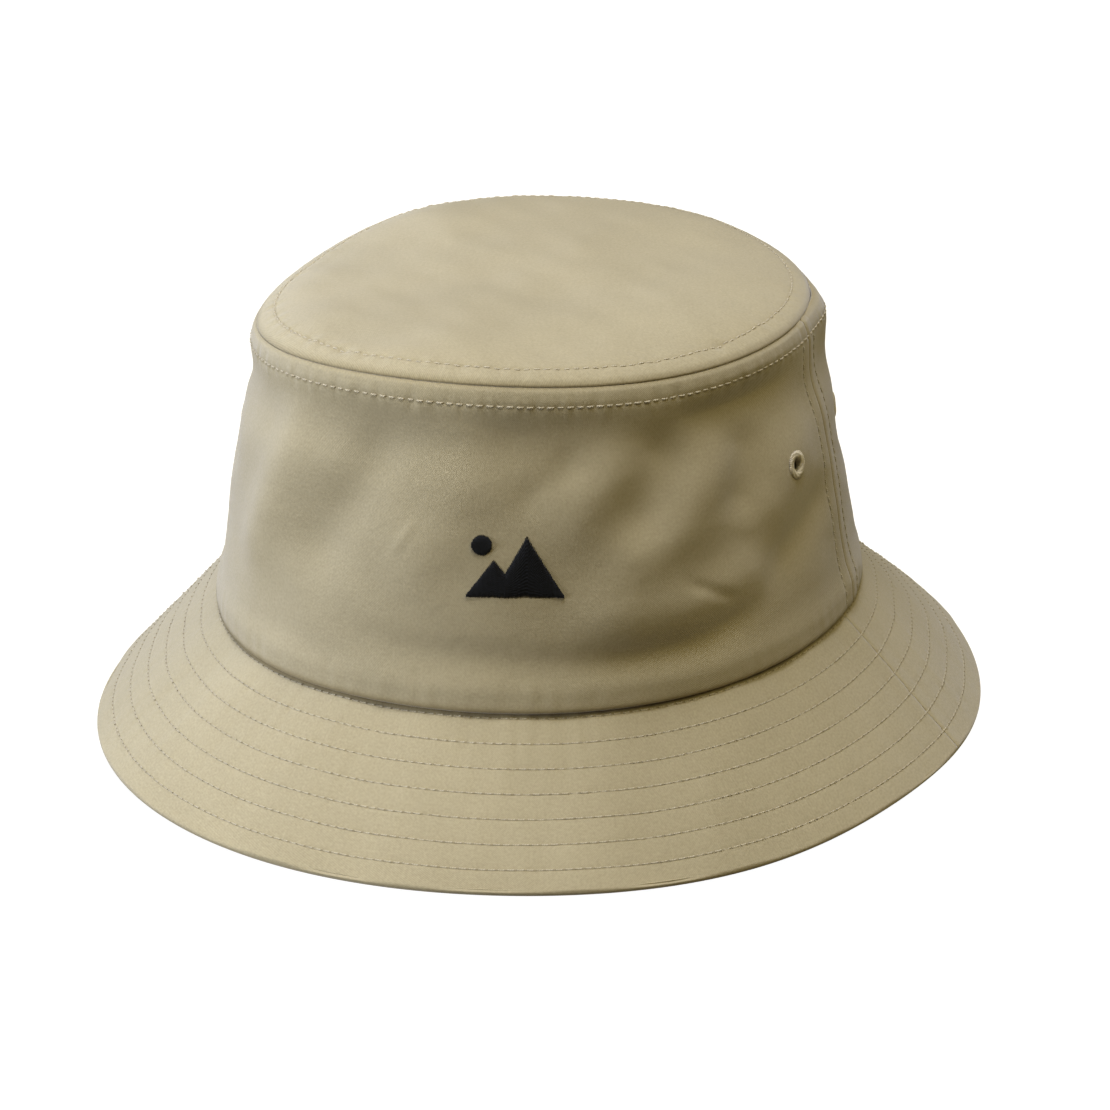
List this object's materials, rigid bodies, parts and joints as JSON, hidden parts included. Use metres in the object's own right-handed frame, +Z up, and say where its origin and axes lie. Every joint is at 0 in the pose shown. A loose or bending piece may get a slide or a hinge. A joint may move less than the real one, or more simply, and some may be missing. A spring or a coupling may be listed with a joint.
{
  "type": "bucket hat",
  "caption": "Cotton twill bucket hat: oval crown with a domed tip, sloping brim with rings of stitching, sweatband, air eyelets and a hanging care label inside.",
  "frame": {"origin": "centre of the brim's edge, on the surface that the hat stands on", "axes": "+Z up through the crown, -Y towards the front of the hat (the side with the emblem), +X towards the wearer's left"},
  "size_m": [0.2618, 0.2696, 0.1345],
  "materials": {
    "khaki_twill": "matte cotton twill",
    "interlining": "non-woven",
    "sweatband_cloth": "matte plain weave",
    "seam_tape": "matte tape",
    "khaki_thread": "satin thread",
    "black_thread": "satin thread",
    "backing": "non-woven",
    "label_satin": "satin ribbon"
  },
  "bodies": {
    "hat": {"crown_tip": "khaki_twill", "crown_front_panel": "khaki_twill", "crown_back_panel": "khaki_twill", "brim_top_front": "khaki_twill", "brim_top_back": "khaki_twill", "brim_interlining_front": "interlining", "brim_interlining_back": "interlining", "brim_under_front": "khaki_twill", "brim_under_back": "khaki_twill", "sweatband": "sweatband_cloth", "sweatband_stiffener": "interlining", "crown_seam_tape": "seam_tape", "side_seam_tape_left": "seam_tape", "side_seam_tape_right": "seam_tape", "side_seam_stitching_left": "khaki_thread", "side_seam_stitching_right": "khaki_thread", "tip_topstitch": "khaki_thread", "wall_topstitch": "khaki_thread", "brim_edge_stitch_at_crown": "khaki_thread", "brim_stitch_row_1": "khaki_thread", "brim_stitch_row_2": "khaki_thread", "brim_stitch_row_3": "khaki_thread", "brim_stitch_row_4": "khaki_thread", "brim_stitch_row_5": "khaki_thread", "brim_stitch_row_6": "khaki_thread", "eyelet_front_left": "khaki_thread", "eyelet_front_right": "khaki_thread", "eyelet_back_left": "khaki_thread", "eyelet_back_right": "khaki_thread", "front_emblem": "black_thread", "emblem_backing": "backing", "care_label_tab": "label_satin"},
    "care_label": {"care_label": "label_satin"}
  },
  "joints": [
    {"name": "care_label_swing", "type": "hinge", "parent": "hat", "child": "care_label", "pos_m": [0.04245, 0.07581, 0.11586], "axis": [-0.8595, 0.5111, 0], "range_deg": [-4, 95]}
  ]
}
